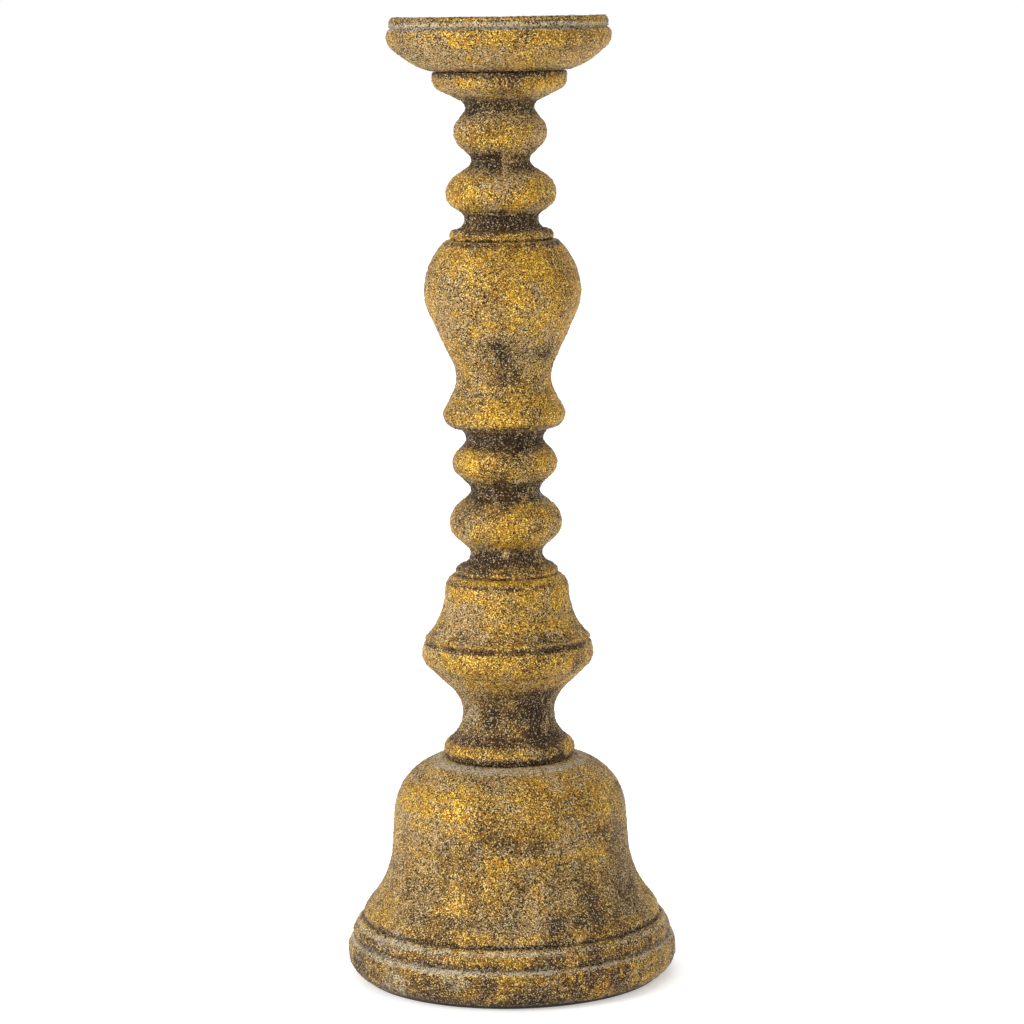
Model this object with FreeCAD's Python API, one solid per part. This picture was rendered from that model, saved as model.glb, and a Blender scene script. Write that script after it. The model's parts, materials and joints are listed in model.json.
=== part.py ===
import FreeCAD, Part
import math
import os

# A turned altar candlestick: hollow cast sections stacked on one steel tie rod,
# with a loose drip dish on top and a short pricket that stands up through the dish.
# Millimetres, +Z up. The origin is the middle of the ring the candlestick stands on.

# ---- Driving dimensions -------------------------------------------------------------

# casting practice shared by every section
casting_wall = 2.8
register_radius = 9.0       # spigot on top of a section, entering the socket above it
register_depth = 4.5
register_clearance = 0.15
core_radius = 5.5           # core hole that the tie rod passes through

# standing ring and foot
foot_radius = 69.3          # widest part of the whole candlestick
standing_ring_height = 1.5
standing_ring_inset = 1.8   # inside the foot's lower edge
standing_ring_margin = 1.0  # outside the foot's opening
foot_edge_inset = 5.1       # the insets are all measured in from the foot radius
foot_opening_inset = 19.3
foot_widest_height = 10.4
foot_roll_top = 16.4
foot_band_height = 8.0      # the low band between the two turned grooves
foot_band_inset = 2.0       # how far the band's lower edge stands inside the foot roll
foot_band_slope = 3.4
groove_depth = 0.9
groove_height = 0.8
foot_rim_height = 6.5       # thickness of the solid ring around the foot's opening

# bell
step_inset = 6.7
step_height = 25.4
cove_start_inset = 10.4
cove_start_height = 32.0
bell_inset = 20.6
waist_flare = 0.7           # the waist is this much wider than the bell's side
waist_height = 58.0
shoulder_start_height = 68.0
shoulder_height = 24.3
bell_top_wall = 4.5
neck_seat_inset = 0.4       # flat on the bell, inside the neck's ring

# neck, measured from its own seat on the bell
neck_height = 49.2
neck_ring_radius = 27.4
neck_ring_height = 7.8
neck_waist_radius = 19.1
neck_waist_height = 18.5
neck_torus_radius = 35.75
neck_torus_height = 43.8
neck_top_inset = 1.9        # from the torus radius, at the groove under the knop
neck_rim_width = 7.4        # of the neck's open lower end

# bell shaped knop, measured from its seat on the neck
knop_height = 28.0
knop_lip_overhang = 0.5     # past the neck's top
knop_lip_height = 2.4
knop_side_radius = 25.8
knop_side_height = 22.0
knop_top_radius = 21.9
knop_rim_width = 8.2        # of the knop's open lower end

# lower middle bead: ring, cove, bead, half cove
lower_bead_height = 35.3
lower_ring_inset = 0.6      # from the top of the knop below
lower_ring_height = 3.2
lower_cove_radius = 14.9
lower_cove_height = 9.0
lower_bead_radius = 23.3
lower_bead_middle = 21.4
lower_top_radius = 14.3

# upper middle bead: half cove, bead, cove under the urn
middle_bead_height = 26.2
middle_bead_radius = 21.7
middle_bead_middle = 11.4
middle_cove_radius = 16.0
middle_cove_height = 21.4

# urn shaped knop
urn_height = 77.5
urn_ring_radius = 25.3
urn_ring_height = 5.9
urn_ring_edge = 20.9
urn_waist_radius = 19.6
urn_waist_height = 20.3
urn_radius = 32.4
urn_widest_height = 56.0
urn_top_radius = 23.0
urn_opening_radius = 7.0

# shoulder bead: ring on the urn, cove, bead, half cove
shoulder_bead_height = 32.8
shoulder_ring_inset = 1.6   # from the top of the urn below
shoulder_ring_height = 3.9
shoulder_cove_radius = 15.2
shoulder_cove_height = 8.8
shoulder_bead_radius = 22.7
shoulder_bead_middle = 18.8
shoulder_top_radius = 12.1

# upper bead
upper_bead_height = 21.3
upper_bead_radius = 19.25
upper_bead_middle = 11.5
upper_top_radius = 14.2

# collar that carries the dish
collar_height = 14.9
collar_radius = 27.6
collar_side_height = 11.6
collar_cup_wall = 4.6
collar_cup_depth = 6.0

# drip dish, measured from its seat on the collar
dish_lift_gap = 0.3         # hairline between the dish and the collar rim
dish_height = 22.2
dish_radius = 46.1
dish_widest_height = 14.2
dish_base_overhang = 1.0    # past the collar's rim
dish_flare_inset = 8.8      # from the dish radius, and so are the next insets
dish_flare_height = 4.0
dish_side_inset = 3.4
dish_side_height = 8.3
dish_groove_height = 17.1
dish_groove_inset = 1.9
dish_lip_inset = 1.2
dish_lip_round = 1.7
dish_rim_width = 2.2
dish_floor_height = 7.6
dish_floor_thickness = 3.0
dish_floor_inset = 11.1
dish_spigot_wall = 4.2
dish_fit_clearance = 0.3    # around the spigot and around the pricket

# dish seat, rod and fasteners (M6)
seat_thickness = 1.2
rod_radius = 3.0
rod_hole_clearance = 0.3
nut_across_flats = 10.0
thin_nut_height = 3.2
nut_height = 5.2
washer_thickness = 1.6
washer_radius = 6.0
wide_washer_radius = 9.0
spring_washer_thickness = 1.6
spring_washer_radius = 5.9
spring_washer_gap = 1.2
rod_bottom_stand_out = 5.0
clamp_plate_radius = 20.0
clamp_plate_thickness = 4.0

# pricket
pricket_base_height = 5.2
pricket_thread_depth = 4.2
pricket_shank_radius = 3.0
pricket_tip_radius = 0.4
pricket_tip_below_rim = 3.0

# cover under the base
cover_recess = 3.0
cover_thickness = 1.5
cover_clearance = 0.3
screw_count = 3
screw_edge_distance = 6.5   # from the edge of the opening
screw_radius = 2.0
screw_length = 9.0
screw_head_radius = 3.6
screw_head_height = 1.6
screw_slot_width = 0.9
screw_slot_depth = 0.7
lug_radius = 5.0
lug_height = 12.0

# ---- Sizes that follow from a neighbour ---------------------------------------------

foot_edge_radius = foot_radius - foot_edge_inset
foot_opening_radius = foot_radius - foot_opening_inset
step_radius = foot_radius - step_inset
cove_start_radius = foot_radius - cove_start_inset
bell_radius = foot_radius - bell_inset
waist_radius = bell_radius + waist_flare
neck_seat_radius = neck_ring_radius - neck_seat_inset
neck_opening_radius = neck_ring_radius - neck_rim_width
neck_top_radius = neck_torus_radius - neck_top_inset
knop_lip_radius = neck_top_radius + knop_lip_overhang
knop_opening_radius = knop_lip_radius - knop_rim_width
lower_ring_radius = knop_top_radius - lower_ring_inset
shoulder_ring_radius = urn_top_radius - shoulder_ring_inset
collar_cup_radius = collar_radius - collar_cup_wall
dish_spigot_radius = collar_cup_radius - dish_fit_clearance
dish_pocket_radius = dish_spigot_radius - dish_spigot_wall
screw_circle_radius = foot_opening_radius - screw_edge_distance

# ---- Where each section sits --------------------------------------------------------

bell_height = shoulder_start_height + shoulder_height
neck_seat = bell_height
knop_seat = neck_seat + neck_height
lower_bead_seat = knop_seat + knop_height
middle_bead_seat = lower_bead_seat + lower_bead_height
urn_seat = middle_bead_seat + middle_bead_height
shoulder_bead_seat = urn_seat + urn_height
upper_bead_seat = shoulder_bead_seat + shoulder_bead_height
collar_seat = upper_bead_seat + upper_bead_height
collar_top = collar_seat + collar_height
cup_floor = collar_top - collar_cup_depth
dish_seat = collar_top + dish_lift_gap
rim_height = dish_seat + dish_height
dish_floor = dish_seat + dish_floor_height
collar_nut_seat = cup_floor + washer_thickness
pricket_seat = collar_nut_seat + thin_nut_height
clamp_plate_top = bell_height - bell_top_wall
base_washer_top = clamp_plate_top - clamp_plate_thickness
spring_washer_top = base_washer_top - washer_thickness
base_nut_top = spring_washer_top - spring_washer_thickness
rod_bottom = base_nut_top - nut_height - rod_bottom_stand_out
cover_bottom = standing_ring_height + cover_recess
cover_top = cover_bottom + cover_thickness


# ---- Drawing helpers ----------------------------------------------------------------


def point(radius, height):
    return FreeCAD.Vector(radius, 0, height)


class Outline:
    """Half of a turned section, drawn upwards as radius and height."""

    def __init__(self, radius, height):
        self.first = self.last = (radius, height)
        self.edges = []

    def line(self, radius, height):
        if math.dist(self.last, (radius, height)) > 1e-6:
            self.edges.append(Part.LineSegment(point(*self.last), point(radius, height)).toShape())
        self.last = (radius, height)
        return self

    def arc(self, through, radius, height):
        curve = Part.Arc(point(*self.last), point(*through), point(radius, height))
        self.edges.append(curve.toShape())
        self.last = (radius, height)
        return self

    def leave(self, radius, height):
        """An arc that leaves the last place along the axis direction."""
        r, z = self.last
        out, up = radius - r, height - z
        size = (out**2 + up**2) / (2 * abs(out))
        half = math.atan2(abs(out), abs(up))
        across = size * (1 - math.cos(half))
        along = size * math.sin(half)
        through = (r + math.copysign(across, out), z + math.copysign(along, up))
        return self.arc(through, radius, height)

    def arrive(self, radius, height):
        """An arc that reaches its end along the axis direction."""
        r, z = self.last
        out, up = r - radius, z - height
        size = (out**2 + up**2) / (2 * abs(out))
        half = math.atan2(abs(out), abs(up))
        across = size * (1 - math.cos(half))
        along = size * math.sin(half)
        through = (radius + math.copysign(across, out), height + math.copysign(along, up))
        return self.arc(through, radius, height)

    def swell(self, radius, height, first_share, fullness):
        """Two arcs and their common tangent, upright at both ends.

        first_share is the first arc's part of the two radii, and fullness is how much of
        the room they take: 1 leaves no straight stretch between them.
        """
        r, z = self.last
        out, up = abs(radius - r), height - z
        side = math.copysign(1, radius - r)
        both = min((out**2 + up**2) / (2 * out) * fullness, up)
        first, second = both * first_share, both * (1 - first_share)
        turn = math.asin(both / math.hypot(up, both - out)) - math.atan2(both - out, up)

        def on_first(angle):
            return (r + side * first * (1 - math.cos(angle)), z + first * math.sin(angle))

        def on_second(angle):
            return (
                radius - side * second * (1 - math.cos(angle)),
                height - second * math.sin(angle),
            )

        self.arc(on_first(turn / 2), *on_first(turn))
        self.line(*on_second(turn))
        return self.arc(on_second(turn / 2), radius, height)

    def turned(self):
        self.line(*self.first)
        face = Part.Face(Part.Wire(self.edges))
        return face.revolve(FreeCAD.Vector(0, 0, 0), FreeCAD.Vector(0, 0, 1), 360)


def cylinder(radius, bottom, top):
    return Part.makeCylinder(radius, top - bottom, FreeCAD.Vector(0, 0, bottom))


def ring(outer, inner, bottom, top):
    return cylinder(outer, bottom, top).cut(cylinder(inner, bottom, top))


def hexagon(across_flats, bottom, top):
    corner = across_flats / math.sqrt(3)
    corners = [
        FreeCAD.Vector(
            corner * math.cos(math.radians(60 * i)), corner * math.sin(math.radians(60 * i)), bottom
        )
        for i in range(7)
    ]
    face = Part.Face(Part.makePolygon(corners))
    prism = face.extrude(FreeCAD.Vector(0, 0, top - bottom))
    # the corners are turned off at both ends, as on any machined nut
    chamfer = corner - across_flats / 2
    flat = across_flats / 2 * 0.98
    limits = Outline(0, bottom).line(flat, bottom).line(corner, bottom + chamfer * 0.5)
    limits.line(corner, top - chamfer * 0.5).line(flat, top).line(0, top)
    return prism.common(limits.turned())


def around(shape, count):
    turned = []
    for i in range(count):
        copy = shape.copy()
        copy.rotate(FreeCAD.Vector(0, 0, 0), FreeCAD.Vector(0, 0, 1), 360 / count * i)
        turned.append(copy)
    return turned


def spigot(top):
    """The register that enters the section above, with the core hole left for the rod."""
    return ring(register_radius, core_radius, top - register_depth / 2, top + register_depth)


def socket(bottom):
    clear = register_radius + register_clearance
    return cylinder(clear, bottom, bottom + register_depth + register_clearance)


def bored_section(outline, bottom, top):
    """A turned section bored for the rod, with a socket below and a spigot above."""
    body = outline.turned().cut(cylinder(core_radius, bottom, top))
    return body.cut(socket(bottom)).fuse(spigot(top)).removeSplitter()


def bead_hollow(bead_radius, middle):
    """The round core that leaves one casting wall behind the widest part of a bead."""
    depth = bead_radius - casting_wall - core_radius
    hollow = Outline(0, middle - depth * 0.6).line(core_radius, middle - depth * 0.6)
    hollow.arc((core_radius + depth, middle), core_radius, middle + depth * 0.6)
    return hollow.line(0, middle + depth * 0.6).turned()


# ---- Base ---------------------------------------------------------------------------


def foot_lugs(bottom):
    """Cast lugs for the cover screws, each with a web back to the foot ring."""
    lug = Part.makeCylinder(lug_radius, lug_height, FreeCAD.Vector(screw_circle_radius, 0, bottom))
    web_length = foot_opening_radius + casting_wall - screw_circle_radius
    web = Part.makeBox(
        web_length,
        2 * lug_radius,
        lug_height,
        FreeCAD.Vector(screw_circle_radius, -lug_radius, bottom),
    )
    hole = Part.makeCylinder(
        screw_radius,
        screw_length - cover_thickness + 1,
        FreeCAD.Vector(screw_circle_radius, 0, bottom),
    )
    return around(lug.fuse(web).cut(hole), screw_count)


def make_bell_base():
    bottom = standing_ring_height
    band_bottom = foot_roll_top + groove_height
    band_top = band_bottom + foot_band_height - groove_height
    band_radius = foot_radius - foot_band_inset
    outside = Outline(foot_opening_radius, bottom).line(foot_edge_radius, bottom)
    outside.arrive(foot_radius, foot_widest_height)
    outside.leave(band_radius, foot_roll_top)
    outside.line(band_radius - groove_depth, foot_roll_top + groove_height / 2)
    outside.line(band_radius, band_bottom)
    outside.arc(
        (band_radius - foot_band_slope / 2 + 0.5, (band_bottom + band_top) / 2),
        band_radius - foot_band_slope,
        band_top,
    )
    outside.line(step_radius - groove_depth / 2, band_top + groove_height / 2)
    outside.line(step_radius, step_height + groove_height / 2)
    outside.arc(
        (step_radius - 1.4, (step_height + cove_start_height) / 2 + 0.4),
        cove_start_radius,
        cove_start_height,
    )
    outside.arrive(waist_radius, waist_height)
    outside.line(bell_radius, shoulder_start_height)
    shoulder_end = max(neck_seat_radius, bell_radius - shoulder_height)
    outside.leave(shoulder_end, bell_height).line(neck_seat_radius, bell_height)

    # the hollow follows the outside one casting wall further in
    wall = casting_wall
    rim_top = bottom + foot_rim_height
    outside.line(core_radius, bell_height).line(core_radius, clamp_plate_top)
    outside.line(shoulder_end - wall, clamp_plate_top)
    outside.arrive(bell_radius - wall, shoulder_start_height)
    outside.line(waist_radius - wall, waist_height)
    outside.leave(cove_start_radius - wall, cove_start_height)
    foot_hollow = foot_radius - 2 * wall
    outside.line(step_radius - wall, step_height)
    outside.line(foot_hollow, foot_roll_top).line(foot_hollow, rim_top)
    outside.line(foot_opening_radius + wall, rim_top)
    outside.line(foot_opening_radius, rim_top - wall)
    body = outside.turned()
    for lug in foot_lugs(cover_top):
        body = body.fuse(lug)
    register = ring(
        neck_opening_radius - register_clearance,
        core_radius,
        bell_height - bell_top_wall / 2,
        bell_height + register_depth,
    )
    return body.fuse(register).removeSplitter()


def make_standing_ring():
    outer = foot_edge_radius - standing_ring_inset
    return ring(outer, foot_opening_radius + standing_ring_margin, 0, standing_ring_height)


def make_cover():
    plate = cylinder(foot_opening_radius - cover_clearance, cover_bottom, cover_top)
    hole = Part.makeCylinder(
        screw_radius + cover_clearance,
        cover_thickness,
        FreeCAD.Vector(screw_circle_radius, 0, cover_bottom),
    )
    for cut in around(hole, screw_count):
        plate = plate.cut(cut)
    return plate


def make_cover_screws():
    head_bottom = cover_bottom - screw_head_height
    place = FreeCAD.Vector(screw_circle_radius, 0, head_bottom)
    head = Part.makeCylinder(screw_head_radius, screw_head_height, place)
    shank = Part.makeCylinder(screw_radius, screw_length + screw_head_height, place)
    slot = Part.makeBox(
        2 * screw_head_radius,
        screw_slot_width,
        screw_slot_depth,
        place + FreeCAD.Vector(-screw_head_radius, -screw_slot_width / 2, 0),
    )
    screw = head.fuse(shank).cut(slot).removeSplitter()
    return Part.makeCompound(around(screw, screw_count))


# ---- Neck and knops -----------------------------------------------------------------


def make_neck():
    seat, top = neck_seat, neck_seat + neck_height
    ring_top = seat + neck_ring_height
    waist = seat + neck_waist_height
    torus = seat + neck_torus_height
    wall = casting_wall
    neck = Outline(neck_opening_radius, seat).line(neck_ring_radius - 1.2, seat)
    neck.arrive(neck_ring_radius, seat + neck_ring_height * 0.42)
    neck.leave(neck_ring_radius - 2.8, ring_top)
    neck.arrive(neck_waist_radius, waist)
    neck.swell(neck_torus_radius, torus, 0.72, 0.8)
    neck.leave(neck_top_radius + groove_depth, top - groove_height).line(neck_top_radius, top)
    neck.line(core_radius, top).line(core_radius, top - wall)
    neck.line(neck_torus_radius - 2 * wall, top - wall)
    neck.line(neck_torus_radius - 1.6 * wall, torus)
    neck.line(neck_waist_radius - wall, waist + wall)
    neck.line(neck_waist_radius - wall, waist - wall / 2)
    neck.line(neck_opening_radius, ring_top - wall / 2)
    register = ring(
        knop_opening_radius - register_clearance,
        core_radius,
        top - wall / 2,
        top + register_depth,
    )
    return neck.turned().fuse(register).removeSplitter()


def make_bell_knop():
    seat, top = knop_seat, knop_seat + knop_height
    side = seat + knop_side_height
    wall = casting_wall
    lip_top = seat + knop_lip_height
    knop = Outline(knop_opening_radius, seat).line(knop_lip_radius - 1, seat)
    knop.arc((knop_lip_radius, seat + knop_lip_height / 2), knop_lip_radius - 1, lip_top)
    knop.arrive(knop_side_radius, side)
    knop.leave(knop_top_radius, top)
    knop.line(core_radius, top).line(core_radius, top - wall)
    knop.line(knop_side_radius - 1.6 * wall, top - wall)
    knop.line(knop_side_radius - wall, side)
    knop.line(knop_opening_radius - wall / 2, lip_top + register_depth)
    knop.line(knop_opening_radius, lip_top + register_depth / 2)
    return knop.turned().fuse(spigot(top)).removeSplitter()


def make_lower_bead():
    seat, top = lower_bead_seat, lower_bead_seat + lower_bead_height
    cove = seat + lower_cove_height
    bead = Outline(core_radius, seat).line(lower_ring_radius - 0.6, seat)
    bead.arc(
        (lower_ring_radius, seat + lower_ring_height / 2),
        lower_ring_radius - 0.8,
        seat + lower_ring_height,
    )
    turn = lower_cove_height - lower_ring_height - 1
    bead.line(lower_cove_radius + turn * 0.9, cove - turn)
    bead.arrive(lower_cove_radius, cove)
    bead.swell(lower_bead_radius, seat + lower_bead_middle, 0.33, 0.85)
    bead.swell(lower_top_radius, top, 0.77, 0.94)
    bead.line(core_radius, top)
    hollow = bead_hollow(lower_bead_radius, seat + lower_bead_middle)
    return bored_section(bead, seat, top).cut(hollow)


def make_middle_bead():
    seat, top = middle_bead_seat, middle_bead_seat + middle_bead_height
    cove = seat + middle_cove_height
    turn = middle_bead_height - middle_cove_height
    bead = Outline(core_radius, seat).line(lower_top_radius, seat)
    bead.swell(middle_bead_radius, seat + middle_bead_middle, 0.38, 0.82)
    bead.swell(middle_cove_radius, cove, 0.7, 0.88)
    bead.leave(middle_cove_radius + turn * 0.8, top)
    bead.line(core_radius, top)
    hollow = bead_hollow(middle_bead_radius, seat + middle_bead_middle)
    return bored_section(bead, seat, top).cut(hollow)


def make_urn():
    seat, top = urn_seat, urn_seat + urn_height
    ring_middle = seat + urn_ring_height
    waist, widest = seat + urn_waist_height, seat + urn_widest_height
    wall = casting_wall
    urn = Outline(core_radius, seat).line(urn_ring_edge, seat)
    urn.arrive(urn_ring_radius, ring_middle)
    urn.swell(urn_waist_radius, waist, 0.24, 0.98)
    urn.swell(urn_radius, widest, 0.47, 0.85)
    urn.leave(urn_top_radius, top).line(core_radius, top)
    body = bored_section(urn, seat, top)

    floor = seat + register_depth + wall
    hollow = Outline(0, floor).line(urn_opening_radius, floor)
    hollow.line(urn_waist_radius - wall, floor + 2 * wall).line(urn_waist_radius - wall, waist)
    hollow.swell(urn_radius - wall, widest, 0.47, 0.85)
    hollow.leave(urn_top_radius - wall, top - wall).line(0, top - wall)
    return body.cut(hollow.turned())


def make_shoulder_bead():
    seat, top = shoulder_bead_seat, shoulder_bead_seat + shoulder_bead_height
    cove = seat + shoulder_cove_height
    bead = Outline(core_radius, seat).line(shoulder_ring_radius - 0.6, seat)
    bead.arc(
        (shoulder_ring_radius, seat + shoulder_ring_height / 2),
        shoulder_ring_radius - 0.8,
        seat + shoulder_ring_height,
    )
    turn = shoulder_cove_height - shoulder_ring_height - 0.4
    bead.line(shoulder_cove_radius + turn * 0.95, cove - turn)
    bead.arrive(shoulder_cove_radius, cove)
    bead.swell(shoulder_bead_radius, seat + shoulder_bead_middle, 0.34, 0.9)
    bead.swell(shoulder_top_radius, top, 0.73, 0.89)
    bead.line(core_radius, top)
    hollow = bead_hollow(shoulder_bead_radius, seat + shoulder_bead_middle)
    return bored_section(bead, seat, top).cut(hollow)


def make_upper_bead():
    seat, top = upper_bead_seat, upper_bead_seat + upper_bead_height
    bead = Outline(core_radius, seat).line(shoulder_top_radius, seat)
    bead.swell(upper_bead_radius, seat + upper_bead_middle, 0.27, 0.88)
    bead.swell(upper_top_radius, top, 0.74, 0.95)
    bead.line(core_radius, top)
    hollow = bead_hollow(upper_bead_radius, seat + upper_bead_middle)
    return bored_section(bead, seat, top).cut(hollow)


# ---- Collar, dish and pricket -------------------------------------------------------


def make_collar():
    seat = collar_seat
    rod_hole = rod_radius + rod_hole_clearance
    collar = Outline(rod_hole, seat).line(upper_top_radius, seat)
    collar.swell(collar_radius, seat + collar_side_height, 0.43, 0.69)
    collar.line(collar_radius, collar_top - 0.5).line(collar_radius - 0.5, collar_top)
    collar.line(collar_cup_radius, collar_top).line(collar_cup_radius, cup_floor)
    collar.line(rod_hole, cup_floor)
    return collar.turned().cut(socket(seat))


def make_dish_seat_ring():
    return ring(dish_spigot_radius, dish_pocket_radius, cup_floor, cup_floor + seat_thickness)


def make_dish():
    seat, rim = dish_seat, rim_height
    under = dish_floor - dish_floor_thickness
    spigot_bottom = cup_floor + seat_thickness
    hole = pricket_shank_radius + dish_fit_clearance
    lip_bottom = seat + dish_groove_height + groove_height
    groove_radius = dish_radius - dish_groove_inset
    lip_radius = dish_radius - dish_lip_inset
    dish = Outline(dish_pocket_radius, spigot_bottom).line(dish_spigot_radius, spigot_bottom)
    dish.line(dish_spigot_radius, seat).line(collar_radius + dish_base_overhang, seat)
    flare = (dish_radius - dish_flare_inset, seat + dish_flare_height)
    dish.arc(flare, dish_radius - dish_side_inset, seat + dish_side_height)
    dish.arrive(dish_radius, seat + dish_widest_height)
    dish.leave(groove_radius + 0.8, seat + dish_groove_height - 0.3)
    dish.line(groove_radius, seat + dish_groove_height)
    dish.line(groove_radius, lip_bottom - 0.3).line(lip_radius, lip_bottom)
    dish.line(lip_radius, lip_bottom + groove_height)
    dish.leave(lip_radius - dish_lip_round, rim)
    inner_rim = lip_radius - dish_lip_round - dish_rim_width
    dish.line(inner_rim, rim)
    dish.leave(dish_radius - dish_floor_inset, dish_floor)
    dish.line(hole, dish_floor).line(hole, under).line(dish_pocket_radius, under)
    return dish.turned()


def make_pricket():
    base_top = pricket_seat + pricket_base_height
    base = hexagon(nut_across_flats, pricket_seat, base_top)
    spike = Outline(0, base_top - 0.5).line(pricket_shank_radius, base_top - 0.5)
    spike.line(pricket_shank_radius, dish_floor + 1)
    spike.line(pricket_tip_radius, rim_height - pricket_tip_below_rim)
    spike.line(0, rim_height - pricket_tip_below_rim)
    thread = cylinder(rod_radius, pricket_seat, pricket_seat + pricket_thread_depth)
    return base.fuse(spike.turned()).removeSplitter().cut(thread)


# ---- Rod and fasteners --------------------------------------------------------------


def make_tie_rod():
    return cylinder(rod_radius, rod_bottom, pricket_seat + pricket_thread_depth)


def make_clamp_plate():
    hole = rod_radius + rod_hole_clearance
    return ring(clamp_plate_radius, hole, base_washer_top, clamp_plate_top)


def make_spring_washer():
    coil = ring(spring_washer_radius, rod_radius + rod_hole_clearance, base_nut_top, spring_washer_top)
    split = Part.makeBox(
        2 * spring_washer_radius,
        spring_washer_gap,
        spring_washer_thickness,
        FreeCAD.Vector(0, -spring_washer_gap / 2, base_nut_top),
    )
    return coil.cut(split)


def washer(radius, bottom):
    return ring(radius, rod_radius + rod_hole_clearance, bottom, bottom + washer_thickness)


def nut(bottom, top):
    return hexagon(nut_across_flats, bottom, top).cut(cylinder(rod_radius, bottom, top))


nodes = {
    "standing_ring": make_standing_ring(),
    "cover_plate": make_cover(),
    "cover_screws": make_cover_screws(),
    "bell_base": make_bell_base(),
    "neck": make_neck(),
    "bell_knop": make_bell_knop(),
    "lower_bead": make_lower_bead(),
    "middle_bead": make_middle_bead(),
    "urn_knop": make_urn(),
    "shoulder_bead": make_shoulder_bead(),
    "upper_bead": make_upper_bead(),
    "dish_collar": make_collar(),
    "dish_seat_ring": make_dish_seat_ring(),
    "drip_dish": make_dish(),
    "pricket": make_pricket(),
    "collar_nut": nut(collar_nut_seat, pricket_seat),
    "collar_washer": washer(washer_radius, cup_floor),
    "tie_rod": make_tie_rod(),
    "clamp_plate": make_clamp_plate(),
    "base_washer": washer(wide_washer_radius, spring_washer_top),
    "spring_washer": make_spring_washer(),
    "base_nut": nut(base_nut_top - nut_height, base_nut_top),
}

os.makedirs("parts", exist_ok=True)
for name, shape in nodes.items():
    shape.exportStep(os.path.join("parts", name + ".step"))
    print(f"{name}: {len(shape.Solids)} solid, {shape.Volume / 1000:.2f} cm3, valid {shape.isValid()}")
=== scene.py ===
import bpy
import bmesh
import json
import math
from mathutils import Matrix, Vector


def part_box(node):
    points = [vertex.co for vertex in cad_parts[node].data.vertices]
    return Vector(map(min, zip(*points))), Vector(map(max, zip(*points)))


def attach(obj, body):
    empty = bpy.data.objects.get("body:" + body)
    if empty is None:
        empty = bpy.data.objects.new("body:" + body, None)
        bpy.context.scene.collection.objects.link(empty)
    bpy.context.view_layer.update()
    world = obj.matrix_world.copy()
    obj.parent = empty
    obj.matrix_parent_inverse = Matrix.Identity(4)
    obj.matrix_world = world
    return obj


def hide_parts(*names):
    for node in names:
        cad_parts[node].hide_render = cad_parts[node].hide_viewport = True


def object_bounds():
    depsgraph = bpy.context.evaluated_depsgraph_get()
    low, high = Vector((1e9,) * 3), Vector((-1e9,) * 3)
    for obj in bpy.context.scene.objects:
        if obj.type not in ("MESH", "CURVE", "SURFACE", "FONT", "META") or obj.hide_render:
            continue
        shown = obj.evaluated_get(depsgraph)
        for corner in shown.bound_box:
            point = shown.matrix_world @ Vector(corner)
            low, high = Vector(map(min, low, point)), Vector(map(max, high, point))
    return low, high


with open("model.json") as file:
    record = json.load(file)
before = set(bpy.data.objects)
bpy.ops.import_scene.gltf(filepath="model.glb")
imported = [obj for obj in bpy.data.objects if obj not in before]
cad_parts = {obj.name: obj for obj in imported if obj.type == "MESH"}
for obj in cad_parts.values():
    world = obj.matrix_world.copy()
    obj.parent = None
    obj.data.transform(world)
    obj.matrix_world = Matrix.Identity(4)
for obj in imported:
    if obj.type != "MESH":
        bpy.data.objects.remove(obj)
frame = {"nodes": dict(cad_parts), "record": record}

cadBox = [list(corner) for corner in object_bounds()]
nodes = frame["nodes"]
mm = 0.001
patternTurn, patternShift = (0.6, 0.5, 0.9), (0.37, 0.21, 0.53)


class Shade:
    # wraps a socket, so that a mask can be written as a sum
    def __init__(self, network, socket):
        self.network = network
        self.socket = socket

    def maths(self, operation, other):
        return self.network.node("ShaderNodeMath", {"operation": operation}, {0: self, 1: other})[0]

    def __add__(self, other): return self.maths("ADD", other)
    def __radd__(self, other): return self.maths("ADD", other)
    def __mul__(self, other): return self.maths("MULTIPLY", other)
    def __rmul__(self, other): return self.maths("MULTIPLY", other)
    def __sub__(self, other): return self.maths("SUBTRACT", other)
    def __rsub__(self, other):
        return self.network.node("ShaderNodeMath", {"operation": "SUBTRACT"}, {0: other, 1: self})[0]

    def __truediv__(self, other): return self.maths("DIVIDE", other)

    def clamp(self): return self.maths("MAXIMUM", 0.0).maths("MINIMUM", 1.0)
    def above(self, edge, soft): return ((self - (edge - soft)) / (2 * soft)).clamp()


class Network:
    # the nodes of one material or of the studio's surroundings
    def __init__(self, tree):
        self.tree = tree

    def node(self, kind, settings=None, sockets=None):
        made = self.tree.nodes.new(kind)
        for key, value in (settings or {}).items():
            setattr(made, key, value)
        for key, value in (sockets or {}).items():
            self.feed(made.inputs[key], value)
        return [Shade(self, out) for out in made.outputs]

    def feed(self, socket, value):
        if isinstance(value, Shade):
            self.tree.links.new(value.socket, socket)
        elif isinstance(value, tuple) and socket.type == "RGBA":
            socket.default_value = (*value, 1.0)
        else:
            socket.default_value = value


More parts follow.
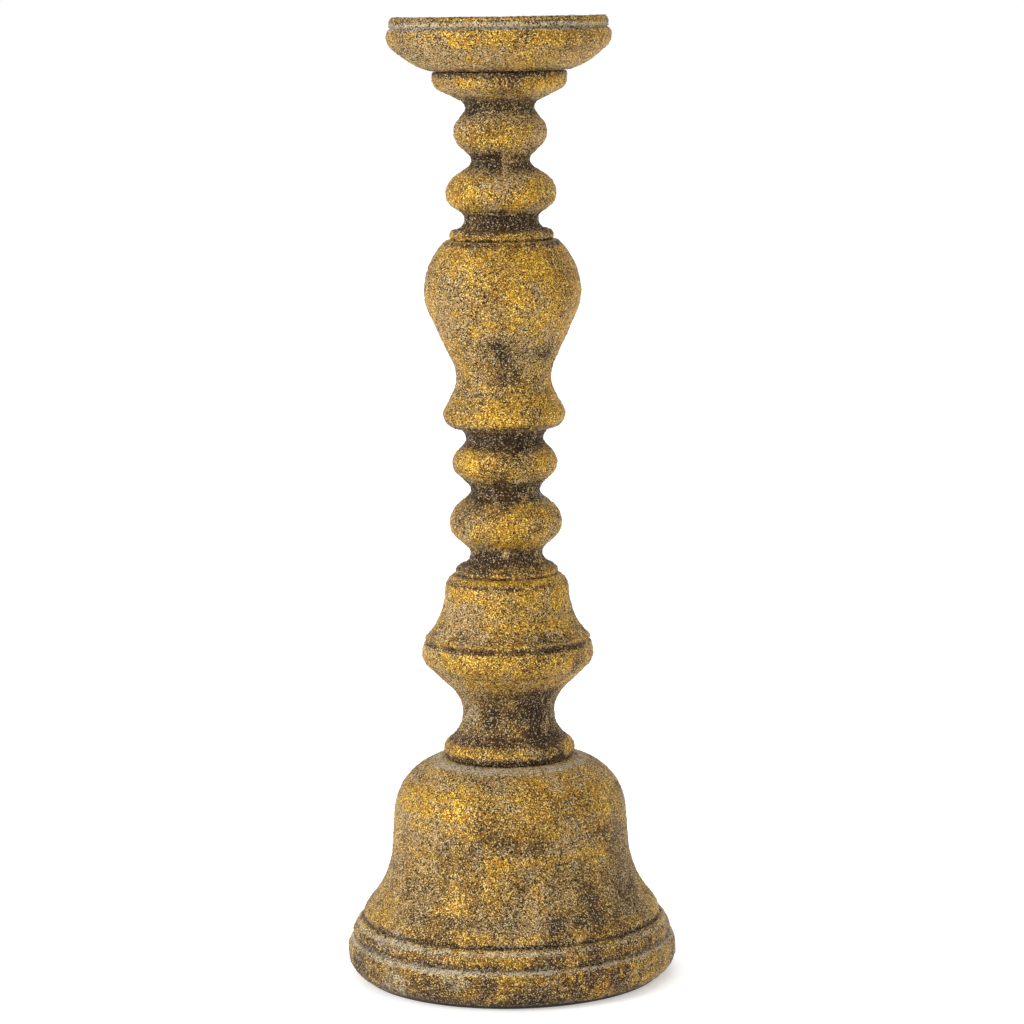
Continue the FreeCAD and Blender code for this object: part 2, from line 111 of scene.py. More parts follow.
class Finish(Network):
    # one material with its principled shader
    def __init__(self, name):
        self.material = bpy.data.materials.new(name)
        self.material.use_nodes = True
        super().__init__(self.material.node_tree)
        self.shader = self.tree.nodes["Principled BSDF"]

    def set(self, **sockets):
        for key, value in sockets.items():
            self.feed(self.shader.inputs[key.replace("_", " ")], value)

    def place(self, stretch=(1, 1, 1)):
        # turned and moved off the axes, so that no pattern lines up with the piece
        coordinates = self.node("ShaderNodeTexCoord")[3]
        return self.node("ShaderNodeMapping", {}, {"Vector": coordinates, "Scale": stretch,
                                                   "Rotation": patternTurn,
                                                   "Location": patternShift})[0]

    def clouds(self, place, size, detail=2.0, rough=0.5, bend=0.0):
        # a soft pattern with lumps about size metres across
        return self.node("ShaderNodeTexNoise", {},
                         {"Vector": place, "Scale": 1 / size, "Detail": detail,
                          "Roughness": rough, "Distortion": bend})[0]

    def grains(self, place, size):
        # three random numbers for each grain, and how far from its middle
        made = self.node("ShaderNodeTexVoronoi", {}, {"Vector": place, "Scale": 1 / size})
        return self.node("ShaderNodeSeparateColor", {}, {"Color": made[1]}) + [made[0]]

    def mix(self, amount, low, high):
        made = self.node("ShaderNodeMix", {"data_type": "RGBA"}, {0: amount, 6: low, 7: high})
        return made[2]

    def kept(self, name):
        return self.node("ShaderNodeAttribute", {"attribute_name": name})[2]

    def bump(self, height, depth, strength=1.0):
        return self.node("ShaderNodeBump", {}, {"Height": height, "Distance": depth,
                                                "Strength": strength})[0]


def linear(red, green, blue):
    # a colour given as 0 to 255 on the screen
    def one(v):
        v /= 255
        return v / 12.92 if v < 0.04045 else ((v + 0.055) / 1.055) ** 2.4
    return (one(red), one(green), one(blue))


gilt = {
    # how large each kind of mark is
    "grain": 0.36 * mm, "lump": 0.9 * mm, "patch": 26 * mm, "blotch": 9 * mm, "streak": 6 * mm,
    "smudge": 34 * mm, "flake": 2 * mm, "pitDepth": 0.18 * mm,
    "gold": linear(196, 140, 14), "glintGold": linear(248, 216, 102),
    "deepGold": linear(128, 82, 8), "taupe": linear(146, 112, 57),
    "paleTaupe": linear(181, 147, 88), "brown": linear(54, 35, 13),
    "warmBrown": linear(84, 54, 14), "black": linear(20, 12, 4), "poolAndSheen": linear(158, 148, 128),
    "paleGrey": linear(208, 190, 154),
    # how much of each pattern goes into the rubbed gold and painted highlights, the dark wax and
    # painted shade, and the grey dust and painted sheen
    "rubbedAndLit": {"level": 0.30, "patch": 4.4, "blotch": 3.0, "flake": 1.2, "ridgeAndLight": 0.7},
    "waxAndShade": {"level": 0.05, "smudge": 2.1, "cove": 0.9, "coveBlotch": 3.2, "coveFlake": 1.6,
            "streak": 0.5, "coveStreak": 1.4, "groove": 0.35, "grooveBlotch": 2.2,
            "grooveFlake": 1.5},
    "dustAndSheen": {"blotch": 2.4, "smudge": 1.6, "flake": 2.4, "edge": 0.62, "soft": 0.3,
             "cover": 0.75},
    "darkGrain": {"level": 0.37, "waxAndShade": 0.20, "dustAndSheen": 0.16, "rubbedAndLit": 0.08, "lump": 0.26,
                  "soft": 0.04, "cover": 0.94},
    "paleGrain": {"level": 0.21, "lump": 0.14, "soft": 0.03, "cover": 0.88, "waxAndShade": 0.25},
    "shine": {"metal": 0.4, "rough": 0.62, "rubbedAndLit": 0.2, "dark": 0.2, "specular": 0.2,
              "sheen": 0.20, "sheenRough": 0.36},
}


def makeGilt():
    m = Finish("antiqueGilt")
    place = m.place()
    cove, groove, ridgeAndLight, poolAndSheen = (m.kept(key) for key in ("cove", "groove", "ridgeAndLight", "poolAndSheen"))
    grainDark, grainGold, grainPale, _ = m.grains(place, gilt["grain"])
    lumpDark, lumpPale, _, _ = m.grains(place, gilt["lump"])
    patch = m.clouds(place, gilt["patch"], 4, 0.62, 0.5) - 0.5
    blotch = m.clouds(m.place((1.2, 1.2, 0.9)), gilt["blotch"], 3, 0.6, 0.4) - 0.5
    streak = m.clouds(m.place((1, 1, 0.14)), gilt["streak"], 3, 0.6) - 0.5  # runs up and down
    smudge = m.clouds(m.place((1.2, 0.9, 1.1)), gilt["smudge"], 3, 0.6, 0.6) - 0.5
    flake = m.clouds(place, gilt["flake"], 2, 0.6) - 0.5

    # gold rubbed on the high points; the side marks add painted highlights to it, and take it away
    # for a painted taupe sheen on the lit left side
    g = gilt["rubbedAndLit"]
    rubbedAndLit = (g["level"] + patch * g["patch"] + blotch * g["blotch"] + flake * g["flake"]
              + ridgeAndLight * g["ridgeAndLight"] - poolAndSheen).clamp()
    # dark wax in the hollows, grooves and smudges, and painted shade where the side marks put it on
    # the right side
    g = gilt["waxAndShade"]
    waxAndShade = (g["level"] + cove * (g["cove"] + blotch * g["coveBlotch"] + flake * g["coveFlake"])
           + smudge * g["smudge"] + streak * (g["streak"] + cove * g["coveStreak"])
           + groove * (g["groove"] + blotch * g["grooveBlotch"] + flake * g["grooveFlake"])).clamp()
    # grey paste pooled in the grooves, and painted grey sheen where the side marks put it on the lit
    # left side
    g = gilt["dustAndSheen"]
    dustAndSheen = ((poolAndSheen + blotch * g["blotch"] + smudge * g["smudge"] + flake * g["flake"])
            .above(g["edge"], g["soft"]) * poolAndSheen.above(0.1, 0.1)).clamp()

    body = m.mix((0.5 + smudge * 1.5).clamp(), gilt["taupe"], gilt["paleTaupe"])
    gold = m.mix((0.5 - blotch * 2).clamp(), gilt["gold"], gilt["deepGold"])
    colour = m.mix(rubbedAndLit * (0.55 + grainGold * 0.45), body, gold)
    brown = m.mix(rubbedAndLit, gilt["brown"], gilt["warmBrown"])
    colour = m.mix((waxAndShade * 1.2).clamp() * 0.97, colour, brown)
    colour = m.mix(dustAndSheen * gilt["dustAndSheen"]["cover"], colour, gilt["poolAndSheen"])

    g = gilt["darkGrain"]
    darkShare = (g["level"] + waxAndShade * g["waxAndShade"] - dustAndSheen * g["dustAndSheen"] - rubbedAndLit * g["rubbedAndLit"]
                 + (lumpDark - 0.5) * g["lump"]).clamp()
    dark = (darkShare - grainDark).above(0.0, g["soft"])
    h = gilt["paleGrain"]
    paleShare = (h["level"] + (lumpPale - 0.5) * h["lump"]).clamp()
    pale = (paleShare - grainPale).above(0.0, h["soft"]) * (1 - dark)
    # pale specks: real grey spray flecks where wax lies, and painted glints of bright gold on the
    # rubbed gold
    speckAndGlint = m.mix(rubbedAndLit.above(0.35, 0.2) * (1 - waxAndShade), gilt["paleGrey"], gilt["glintGold"])
    colour = m.mix(pale * (h["cover"] - waxAndShade * h["waxAndShade"]), colour, speckAndGlint)
    colour = m.mix(dark * g["cover"], colour, gilt["black"])

    g = gilt["shine"]
    m.set(Base_Color=colour, Metallic=(rubbedAndLit * g["metal"] * (1 - dark) * (1 - waxAndShade)).clamp())
    m.set(Roughness=(g["rough"] - rubbedAndLit * g["rubbedAndLit"] + dark * g["dark"]).clamp())
    m.set(Specular_IOR_Level=g["specular"], Sheen_Weight=g["sheen"],
          Sheen_Roughness=g["sheenRough"], Sheen_Tint=gilt["paleTaupe"])
    height = grainDark * 0.6 + lumpDark * 0.7 + flake
    m.set(Normal=m.bump(height, gilt["pitDepth"], 0.7))
    return m.material


def makeTurnedMetal(name, tone, dark, rough, metallic=1.0):
    m = Finish(name)
    place = m.place()
    rings = m.clouds(m.place((0.15, 0.15, 6)), 1.5 * mm, 2, 0.5)  # left by the lathe
    stain = m.clouds(place, 6 * mm, 3, 0.6)
    scuff = m.clouds(place, 1.2 * mm, 2, 0.6)
    colour = m.mix((stain.above(0.58, 0.16) * 0.6 + rings * 0.15).clamp(), tone, dark)
    m.set(Base_Color=colour, Metallic=metallic)
    m.set(Roughness=(rough + (scuff - 0.5) * 0.25 + (rings - 0.5) * 0.1).clamp())
    m.set(Normal=m.bump(rings * 0.6 + scuff * 0.4, 0.06 * mm, 0.5))
    return m.material


def makeFelt():
    m = Finish("blackFelt")
    place = m.place()
    fibre = m.clouds(place, 0.4 * mm, 4, 0.7, 1.2)
    tuft = m.clouds(place, 3 * mm, 3, 0.6)
    m.set(Base_Color=m.mix((fibre * 0.7 + tuft * 0.3).clamp(),
                           linear(22, 21, 20), linear(72, 70, 66)))
    m.set(Roughness=0.95, Sheen_Weight=0.3)
    m.set(Normal=m.bump(fibre, 0.3 * mm, 0.9))
    return m.material


def makeLeather():
    m = Finish("darkLeather")
    place = m.place()
    tone, shine, _, middle = m.grains(place, 0.9 * mm)
    stain = m.clouds(place, 8 * mm, 3, 0.6)
    m.set(Base_Color=m.mix((stain * 0.8 + tone * 0.2).clamp(),
                           linear(44, 26, 15), linear(104, 66, 38)))
    m.set(Roughness=(0.55 + (shine - 0.5) * 0.2))
    m.set(Normal=m.bump(1 - middle, 0.1 * mm, 0.7))
    return m.material


giltFinish = makeGilt()
steelFinish = makeTurnedMetal("zincSteel", linear(178, 180, 182), linear(112, 110, 106), 0.36)
brassFinish = makeTurnedMetal("bareBrass", linear(214, 174, 98), linear(120, 84, 40), 0.3)
blackFinish = makeTurnedMetal("blackSheet", linear(30, 30, 31), linear(62, 58, 54), 0.5, 0.2)
feltFinish = makeFelt()
leatherFinish = makeLeather()
print("finishes made")

castings = {
    # from the floor up: wax and gold are shares over the whole casting, and each ring below has
    # its height and reach in mm, then lines: grey (+) or wax (-), rubs: gold (+) or taupe (-),
    # valleys: how many mm deeper the groove is worn; the marks round a turn and a height are
    # partly real gold, wax and grey, partly painted light: taupe and grey sheen on the lit left
    # side, painted shade on the right side and painted highlights at the front and on the right
    "bell_base": {"steps": 396, "spacing": 0.8, "waxAndShade": 0.17, "gold": -0.04, "darkerTowardFloor": 0.3,
                  "shoulder": 84.0,  # the crown above this keeps no wax
                  "lines": [(91.5, 1.7, 1.2), (25.6, 1.6, -0.2), (23.0, 1.6, 0.8),
                            (18.0, 1.3, -0.8), (15.8, 1.8, 1.1), (2.0, 3.0, -0.7)],
                  "rubs": [(79.0, 13.0, 0.3), (45.0, 14.0, -0.15), (28.0, 1.5, 0.4),
                           (20.5, 1.8, 0.4), (12.0, 4.0, 0.3)],
                  "valleys": [(25.0, 2.2, 0.5), (16.6, 2.4, 0.6)],
                  "marksAndPaintedLight": [("ridgeAndLight", 15, 80, 18, 0.5), ("ridgeAndLight", -20, 78, 12, 0.35),
                              ("ridgeAndLight", 66, 60, 9, 0.7), ("cove", 60, 63, 10, 0.55),
                              ("cove", 48, 66, 8, 0.25), ("cove", 64, 42, 10, 0.4),
                              ("cove", 20, 46, 12, -0.3), ("cove", -38, 43, 17, -0.25),
                              ("cove", 30, 9, 34, 0.6), ("cove", -5, 9, 12, 0.35),
                              ("cove", 75, 7, 16, 0.4), ("poolAndSheen", -45, 8, 10, 0.6),
                              ("poolAndSheen", -20, 12, 7, 0.5), ("ridgeAndLight", -14, 8, 9, 0.6),
                              ("ridgeAndLight", -70, 60, 16, -0.5), ("cove", 62, 24, 14, 0.35),
                              ("poolAndSheen", -50, 22, 12, 0.4), ("poolAndSheen", 5, 27, 16, 0.3),
                              ("ridgeAndLight", -62, 30, 10, 0.5), ("cove", -62, 9, 18, 0.55)]},
    "neck": {"steps": 300, "spacing": 0.8, "waxAndShade": 0.02, "gold": 0.05,
             "lines": [(93.0, 2.6, -1.0), (101.5, 2.5, -0.6), (112.0, 16.0, -0.5),
                       (130.0, 1.5, -0.4), (141.0, 0.9, -0.8)],
             "rubs": [(97.0, 2.0, 0.3), (136.0, 4.0, 0.4)],
             "marksAndPaintedLight": [("ridgeAndLight", 5, 119, 9, 1.1), ("ridgeAndLight", 8, 108, 8, 1.0),
                         ("cove", 5, 116, 8, -0.2), ("cove", 30, 116, 12, 0.6),
                         ("ridgeAndLight", -60, 115, 16, -0.7), ("poolAndSheen", -62, 113, 9, 0.35),
                         ("cove", -66, 113, 15, -0.5), ("ridgeAndLight", -25, 98, 7, 0.7),
                         ("cove", 40, 98, 12, 0.7), ("ridgeAndLight", -28, 138, 9, 0.7),
                         ("ridgeAndLight", 50, 137, 7, 0.7), ("cove", 55, 134, 5, 0.7)]},
    "bell_knop": {"steps": 300, "spacing": 0.8, "waxAndShade": -0.04, "gold": 0.2,
                  "lines": [(142.4, 1.3, -1.0), (146.0, 2.0, -0.3), (166.6, 1.6, -0.8)],
                  "rubs": [(144.6, 1.2, 0.4), (161.0, 5.0, 0.3)],
                  "marksAndPaintedLight": [("ridgeAndLight", -42, 166, 6, 0.9), ("ridgeAndLight", 25, 166, 8, 0.6),
                              ("cove", 27, 157, 8, 0.3),
                              ("ridgeAndLight", -30, 152, 12, -0.5), ("poolAndSheen", -60, 150, 9, 0.35),
                              ("ridgeAndLight", 60, 160, 9, 0.6)]},
    "lower_bead": {"steps": 216, "spacing": 0.7, "waxAndShade": 0.0, "gold": 0.25,
                   "lines": [(172.5, 2.5, -0.8), (177.0, 4.0, -0.6), (206.0, 4.5, -1.1)],
                   "rubs": [(187.0, 7.0, 0.2)],
                   "marksAndPaintedLight": [("ridgeAndLight", 30, 191, 11, 0.8), ("ridgeAndLight", 10, 186, 6, 0.6),
                               ("ridgeAndLight", -55, 190, 10, -0.5), ("cove", -12, 203, 11, 0.7),
                               ("poolAndSheen", 70, 203, 7, 0.5), ("cove", -30, 177, 8, 0.5),
                               ("poolAndSheen", 10, 174, 6, 0.3)]},
    "middle_bead": {"steps": 216, "spacing": 0.7, "waxAndShade": 0.1, "gold": 0.0,
                    "lines": [(206.0, 5.0, -1.1), (227.0, 4.5, -1.0)],
                    "marksAndPaintedLight": [("ridgeAndLight", 0, 217, 9, 0.7), ("cove", 10, 228, 12, 0.4),
                                ("cove", -10, 208, 9, 0.5), ("ridgeAndLight", -60, 217, 8, -0.4)]},
    "urn_knop": {"steps": 276, "spacing": 0.8, "waxAndShade": -0.05, "gold": 0.15,
                 "lines": [(232.0, 2.0, -0.9), (262.0, 10.0, -0.2), (307.5, 1.4, -0.9)],
                 "rubs": [(237.5, 3.0, 0.4), (262.0, 12.0, -0.3), (288.0, 14.0, 0.25)],
                 "marksAndPaintedLight": [("ridgeAndLight", 24, 277, 13, 0.9), ("ridgeAndLight", 5, 298, 13, 0.6),
                             ("ridgeAndLight", -66, 286, 24, -0.8), ("ridgeAndLight", 62, 290, 20, 1.3),
                             ("cove", -6, 265, 7, 0.55), ("cove", 48, 263, 7, 0.5),
                             ("cove", 5, 250, 9, 0.4), ("cove", 35, 236, 6, 0.5),
                             ("cove", 0, 261, 16, 0.12),
                             ("ridgeAndLight", -20, 272, 8, -0.4), ("cove", -40, 270, 7, 0.35)]},
    "shoulder_bead": {"steps": 216, "spacing": 0.7, "waxAndShade": 0.03, "gold": 0.2,
                      "lines": [(312.5, 2.5, -0.8), (317.5, 4.0, -1.0)],
                      "rubs": [(329.0, 5.0, 0.2)],
                      "marksAndPaintedLight": [("ridgeAndLight", -38, 328, 7, 0.8), ("ridgeAndLight", 38, 329, 7, 0.6),
                                  ("cove", -5, 320, 9, 0.6), ("ridgeAndLight", 0, 333, 7, -0.6),
                                  ("cove", -10, 340, 7, 0.6)]},
    "upper_bead": {"steps": 204, "spacing": 0.7, "waxAndShade": -0.02, "gold": -0.15,
                   "marksAndPaintedLight": [("cove", -12, 353, 6, 0.35), ("ridgeAndLight", 42, 354, 7, 0.7),
                               ("ridgeAndLight", -50, 350, 8, 0.4), ("cove", -8, 342, 7, 0.5)]},
    "dish_collar": {"steps": 240, "spacing": 0.7, "waxAndShade": -0.12, "gold": 0.0,
                    "lines": [(376.0, 1.8, -0.3)], "rubs": [(373.0, 2.5, 0.4)],
                    "marksAndPaintedLight": [("ridgeAndLight", -50, 372, 10, -0.7), ("cove", 5, 375, 9, 0.7),
                                ("ridgeAndLight", 25, 371, 6, 0.6), ("cove", 15, 364, 5, 0.3)]},
    "drip_dish": {"steps": 384, "spacing": 0.8, "waxAndShade": -0.04, "gold": 0.0,
                  "lines": [(397.8, 0.6, -0.4), (395.8, 2.0, 1.2)],
                  "rubs": [(391.5, 4.0, 0.5), (399.0, 1.0, 0.5)],
                  "marksAndPaintedLight": [("ridgeAndLight", 22, 386, 10, 0.8), ("ridgeAndLight", 60, 388, 26, 0.9),
                              ("ridgeAndLight", -50, 386, 22, -0.5), ("cove", 12, 391, 5, 0.3)]},
}
stem = {
    "innerSpacing": 4 * mm, "tableStep": 0.5 * mm, "seatGap": 0.4 * mm,
    "coveReach": 7 * mm, "coveDepth": 4 * mm, "grooveReach": 1.5 * mm, "grooveDepth": 0.45 * mm,
    "softening": 2, "mostCuts": 60, "wedges": 12, "cornerTurn": math.radians(38),
    "footHeight": 45 * mm, "skinLevel": 0.55,
    "skinRoom": 0.45 * mm,
}
sandSkin = {  # how far the sand casting lies under its pattern
    "wave": {"size": 0.022, "depth": 0.24 * mm, "contrast": 1.5},
    "lump": {"size": 0.0040, "depth": 0.26 * mm, "contrast": 1.6},
    "grit": {"size": 0.0011, "depth": 0.42 * mm, "contrast": 2.0},
}


def halfSection(name):
    # the casting cut through its axis: one closed loop of edges
    bm = bmesh.new()
    bm.from_mesh(nodes[name].data)
    bmesh.ops.remove_doubles(bm, verts=bm.verts[:], dist=1e-6)
    cut = bmesh.ops.bisect_plane(bm, geom=bm.verts[:] + bm.edges[:] + bm.faces[:],
                                 plane_co=(0, 0, 0), plane_no=(1, 0, 0))["geom_cut"]
    loop = {e for e in cut if isinstance(e, bmesh.types.BMEdge) and e.verts[0].co.y < 0}
    bmesh.ops.delete(bm, geom=bm.faces[:], context="FACES_ONLY")
    bmesh.ops.delete(bm, geom=[e for e in bm.edges if e not in loop], context="EDGES")
    bmesh.ops.delete(bm, geom=[v for v in bm.verts if not v.link_edges], context="VERTS")
    bmesh.ops.remove_doubles(bm, verts=bm.verts[:], dist=0.01 * mm)
    return bm


def walk(start, first, ended):
    # the corners passed from the widest one on, as far as the seam
    path, here = [start], first
    while not ended(here) and here is not start:
        last = path[-1]
        path.append(here)
        one, two = (e.other_vert(here) for e in here.link_edges)
        here = two if one is last else one
    return path + [here]


def outerSide(bm, foot, head, bore):
    # the corners of the half section that show on the standing candlestick
    widest = min(bm.verts, key=lambda v: v.co.y)
    down, up = sorted((e.other_vert(widest) for e in widest.link_edges), key=lambda v: v.co.z)
    slack = 0.05 * mm
    return (walk(widest, down, lambda v: v.co.z < foot + slack)
            + walk(widest, up, lambda v: v.co.z > head - slack or -v.co.y < bore)[1:])


def divide(bm, shown, wanted, spacing):
    # cuts the long edges of the shown or the hidden side to the same length
    for cuts in range(stem["mostCuts"], 0, -1):
        edges = [e for e in bm.edges if wanted == all(v[shown] > 0.99 for v in e.verts)
                 and round(e.calc_length() / spacing) - 1 == cuts]
        if edges:
            bmesh.ops.subdivide_edges(bm, edges=edges, cuts=cuts)


def turning(v):
    one, two = (e.other_vert(v).co - v.co for e in v.link_edges)
    return math.pi - one.angle(two)


def shapeSection(name, foot, head, bore):
    bm = halfSection(name)
    shown = bm.verts.layers.float.new("shown")
    for v in outerSide(bm, foot, head, bore):
        v[shown] = 1.0
    hidden = [v for v in bm.verts if not v[shown]]
    bmesh.ops.remove_doubles(bm, verts=hidden, dist=stem["innerSpacing"] * 0.4)
    divide(bm, shown, False, stem["innerSpacing"])
    divide(bm, shown, True, castings[name]["spacing"] * mm)
    skin = bm.verts.layers.deform.verify()
    for v in bm.verts:
        if v[shown] > 0.99 and all(e.other_vert(v)[shown] > 0.99 for e in v.link_edges):
            v[skin][0] = 1.0
    for i in range(stem["softening"]):
        soft = [v for v in bm.verts if v[skin].get(0) and turning(v) < stem["cornerTurn"]]
        bmesh.ops.smooth_vert(bm, verts=soft, factor=0.5, use_axis_y=True, use_axis_z=True)
    for v in bm.verts:  # the widest and the highest rings leave room for the sand skin
        if v[skin].get(0):
            v.co.y += ringShare(castings[name], "valleys", v.co.z, 1) * mm
            v.co.y = max(v.co.y, stem["skinRoom"] - cadBox[1][0])
            v.co.z = min(v.co.z, cadBox[1][2] - stem["skinRoom"])
    return bm, skin


def outerRadii(sections):
    # the widest radius at each height of the whole stem
    step = stem["tableStep"]
    table = [0.0] * (int(cadBox[1][2] / step) + 2)
    for bm, skin in sections.values():
        for v in bm.verts:
            place = int(v.co.z / step)
            table[place] = max(table[place], -v.co.y)
    for i in range(1, len(table)):
        table[i] = table[i] or table[i - 1]
    return table


def averaged(table, reach):
    count = round(reach / stem["tableStep"])
    near = [table[max(0, i - count):i + count + 1] for i in range(len(table))]
    return [sum(n) / len(n) for n in near]


def reading(table, height):
    place = min(max(height / stem["tableStep"] - 0.5, 0), len(table) - 1.001)
    low = int(place)
    return table[low] + (table[low + 1] - table[low]) * (place - low)


def ringShare(settings, key, height, sign):
    # what the rings of one kind and sign add at this height
    return sum(max(0, 1 - abs(height - ring * mm) / (reach * mm)) * max(sign * tone, 0)
               for ring, reach, tone in settings.get(key, []))


def markSection(bm, skin, name, radii, broad, fine, bowl):
    # how deep each ring of the casting lies, for the wax, the gold and the grey
    layers = {key: bm.verts.layers.float.new(key) for key in ("cove", "groove", "ridgeAndLight", "poolAndSheen")}
    settings = castings[name]
    for v in bm.verts:
        height, radius = v.co.z, -v.co.y
        if not v[skin].get(0):
            v[layers["cove"]] = 0.3
            continue
        if name == "drip_dish" and radius < reading(radii, height) - 2 * mm and height > bowl:
            v[layers["cove"]], v[layers["ridgeAndLight"]] = 0.12, 0.1
            continue
        crown = height > settings.get("shoulder", 1000) * mm
        deep = 0 if crown else (reading(broad, height) - radius) / stem["coveDepth"]
        fineDeep = 0 if crown else (reading(fine, height) - radius) / stem["grooveDepth"]
        # darker towards the bottom of the foot
        low = max(0, 1 - height / stem["footHeight"]) * settings.get("darkerTowardFloor", 0)
        waxAndShade = (min(max(deep, 0), 1) + settings["waxAndShade"] + low
               + ringShare(settings, "lines", height, -1))
        poolAndSheen = ringShare(settings, "lines", height, 1)
        v[layers["cove"]], v[layers["poolAndSheen"]] = waxAndShade * (1 - min(poolAndSheen, 1)), poolAndSheen
        v[layers["groove"]] = min(max(fineDeep, 0), 1)
        v[layers["ridgeAndLight"]] = (min(max(-fineDeep * 0.7 - deep, 0), 1) + settings["gold"]
                              + ringShare(settings, "rubs", height, 1)
                              - ringShare(settings, "rubs", height, -1))


def layMarksAndPaintedLight(bm, name):
    # gold, wax or grey that lies to one side, round a turn and a height on the casting: partly real
    # marks, partly painted light (taupe and grey sheen on the lit left side, painted shade on the
    # right side, painted highlights at the front and on the right)
    skin = bm.verts.layers.deform.verify()
    places = [(v, math.atan2(v.co.x, -v.co.y), math.hypot(v.co.x, v.co.y), v.co.z)
              for v in bm.verts if v[skin].get(0)]
    for key, turn, height, reach, tone in castings[name].get("marksAndPaintedLight", []):
        layer = bm.verts.layers.float.get(key)
        side, middle, reach = math.radians(turn), height * mm, reach * mm
        for v, angle, radius, z in places:
            if abs(z - middle) < reach and abs(angle - side) * radius < reach:
                away = math.hypot((angle - side) * radius, z - middle) / reach
                v[layer] += tone * max(0, 1 - away ** 2)


def makeCasting(name, bm):
    wedge = 2 * math.pi / stem["wedges"]  # one wedge is turned, then laid round
    bmesh.ops.spin(bm, geom=bm.verts[:] + bm.edges[:], cent=(0, 0, 0), axis=(0, 0, 1),
                   angle=wedge, steps=castings[name]["steps"] // stem["wedges"])
    bmesh.ops.spin(bm, geom=bm.verts[:] + bm.edges[:] + bm.faces[:], cent=(0, 0, 0), axis=(0, 0, 1),
                   angle=2 * math.pi - wedge, steps=stem["wedges"] - 1, use_duplicate=True)
    bmesh.ops.remove_doubles(bm, verts=bm.verts[:], dist=3e-6)
    layMarksAndPaintedLight(bm, name)
    bmesh.ops.recalc_face_normals(bm, faces=bm.faces[:])
    mesh = bpy.data.meshes.new(name + "Cast")
    bm.to_mesh(mesh)
    bm.free()
    mesh.shade_smooth()
    mesh.materials.append(giltFinish)
    piece = bpy.data.objects.new(name + "Cast", mesh)
    bpy.context.scene.collection.objects.link(piece)
    piece.vertex_groups.new(name="skin")
    for key, texture in skinTextures.items():
        sunk = piece.modifiers.new(key, "DISPLACE")
        sunk.texture = texture
        sunk.texture_coords = "LOCAL"
        sunk.strength = sandSkin[key]["depth"]
        sunk.mid_level = stem["skinLevel"]
        sunk.vertex_group = "skin"
    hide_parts(name)
    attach(piece, "dish" if name == "drip_dish" else "stand")
    return piece


skinTextures = {}
for key, s in sandSkin.items():
    texture = bpy.data.textures.new(key, "CLOUDS")
    texture.noise_scale, texture.noise_depth, texture.contrast = s["size"], 1, s["contrast"]
    skinTextures[key] = texture

names = list(castings)
feet = [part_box(name)[0].z for name in names]
heads = feet[1:-1] + [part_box("dish_collar")[1].z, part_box("drip_dish")[1].z + 1]
feet[-1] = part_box("dish_collar")[1].z + stem["seatGap"]
bowlFloor = next(m["pos_m"][2] for m in frame["record"]["mounts"] if m["name"] == "candle_floor")
sections = {}
for name, foot, head in zip(names, feet, heads):
    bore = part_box("pricket")[1].x + 1 * mm if name == "drip_dish" else 0
    sections[name] = shapeSection(name, foot, head, bore)
radii = outerRadii(sections)
broad = averaged(radii, stem["coveReach"])
fine = averaged(radii, stem["grooveReach"])
for name, (section, skin) in sections.items():
    markSection(section, skin, name, radii, broad, fine, bowlFloor - mm)
    piece = makeCasting(name, section)
    print(name, len(piece.data.polygons), "faces")

carried = {
    "pricket": brassFinish, "dish_seat_ring": leatherFinish, "standing_ring": feltFinish,
    "cover_plate": blackFinish, "cover_screws": steelFinish, "collar_nut": steelFinish,
    "collar_washer": steelFinish, "tie_rod": steelFinish, "clamp_plate": steelFinish,
    "base_washer": steelFinish, "spring_washer": steelFinish, "base_nut": steelFinish,
}
for name, finish in carried.items():
    mesh = nodes[name].data
    mesh.materials.clear()
    mesh.materials.append(finish)
print("inner pieces finished")

studio = {
    "cameraBack": 1.474, "cameraHeight": 0.400, "cameraSide": 0.0026,
    "pitch": 7.91, "roll": -0.84, "lens": 125.7, "sensor": 36,
    "floorSize": 20.0, "floorDrop": 0.2 * mm, "floorGlow": 0.30, "aim": (0, 0, 0.2),
    "worldLeft": 1.0, "worldRight": 0.75, "leftEnd": 0.15, "rightEnd": 0.9,
    "lights": {  # where each stands, how wide it is and its power
        "keyLight": ((-1.5, -0.9, 1.0), 0.8, 24),
        "fillLight": ((1.2, -1.3, 0.9), 0.9, 4),
        "topLight": ((0.0, 0.3, 1.8), 1.0, 4),
    },
}


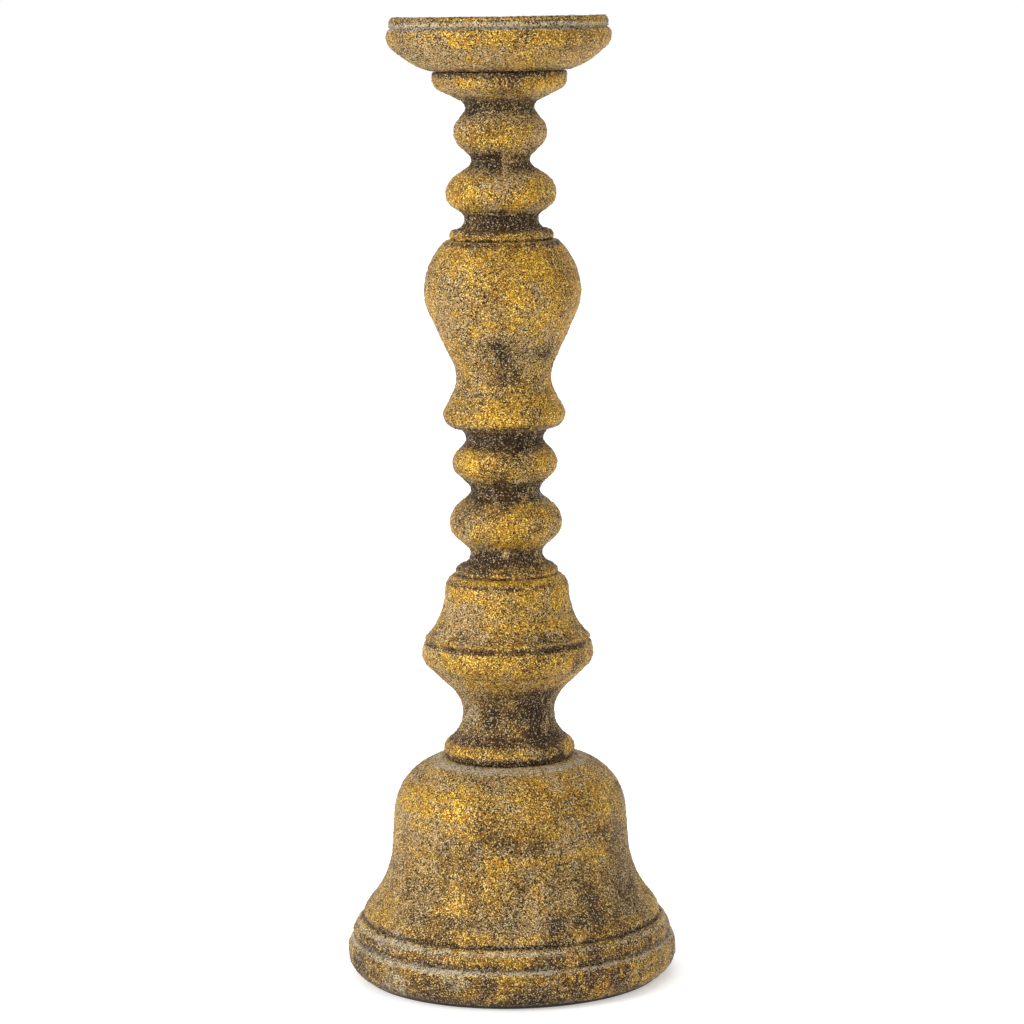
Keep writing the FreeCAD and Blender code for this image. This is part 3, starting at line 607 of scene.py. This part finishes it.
def makeFloor():
    bm = bmesh.new()
    bmesh.ops.create_grid(bm, x_segments=2, y_segments=2, size=studio["floorSize"])
    mesh = bpy.data.meshes.new("floor")
    bm.to_mesh(mesh)
    bm.free()
    floor = bpy.data.objects.new("floor", mesh)
    floor.location.z = -studio["floorDrop"]
    bpy.context.scene.collection.objects.link(floor)
    m = Finish("paleFloor")
    grey = m.clouds(m.place(), 0.4, 3, 0.5)
    m.set(Base_Color=m.mix(grey, (0.86, 0.86, 0.86), (0.90, 0.90, 0.90)), Roughness=0.9)
    m.set(Emission_Color=(1, 1, 1), Emission_Strength=studio["floorGlow"])
    mesh.materials.append(m.material)


def makeLight(name, place, size, power):
    data = bpy.data.lights.new(name, "AREA")
    data.size = size
    data.energy = power
    light = bpy.data.objects.new(name, data)
    light.location = place
    aim = Vector(studio["aim"]) - Vector(place)
    light.rotation_euler = aim.to_track_quat("-Z", "Y").to_euler()
    bpy.context.scene.collection.objects.link(light)


def makeSurroundings():
    # white all round, a little darker on the right
    world = bpy.data.worlds.new("studio")
    world.use_nodes = True
    sky = Network(world.node_tree)
    background = sky.tree.nodes["Background"]
    toward = sky.node("ShaderNodeTexCoord")[0]
    across = sky.node("ShaderNodeSeparateXYZ", {}, {0: toward})[0]
    strength = sky.node("ShaderNodeMapRange", {}, {
        "Value": across, "From Min": studio["leftEnd"], "From Max": studio["rightEnd"],
        "To Min": studio["worldLeft"], "To Max": studio["worldRight"]})[0]
    sky.feed(background.inputs["Color"], (1, 1, 1))
    sky.feed(background.inputs["Strength"], strength)
    bpy.context.scene.world = world


def makeCamera():
    data = bpy.data.cameras.new("camera")
    data.lens = studio["lens"]
    data.sensor_width = studio["sensor"]
    camera = bpy.data.objects.new("camera", data)
    camera.location = (studio["cameraSide"], -studio["cameraBack"], studio["cameraHeight"])
    camera.rotation_euler = (math.radians(90 - studio["pitch"]), 0, 0)
    camera.rotation_euler.rotate_axis("Z", math.radians(studio["roll"]))
    bpy.context.scene.collection.objects.link(camera)
    bpy.context.scene.camera = camera


makeFloor()
for name, (place, size, power) in studio["lights"].items():
    makeLight(name, place, size, power)
makeSurroundings()
makeCamera()
bpy.context.scene.view_settings.view_transform = "Standard"
print("studio set")
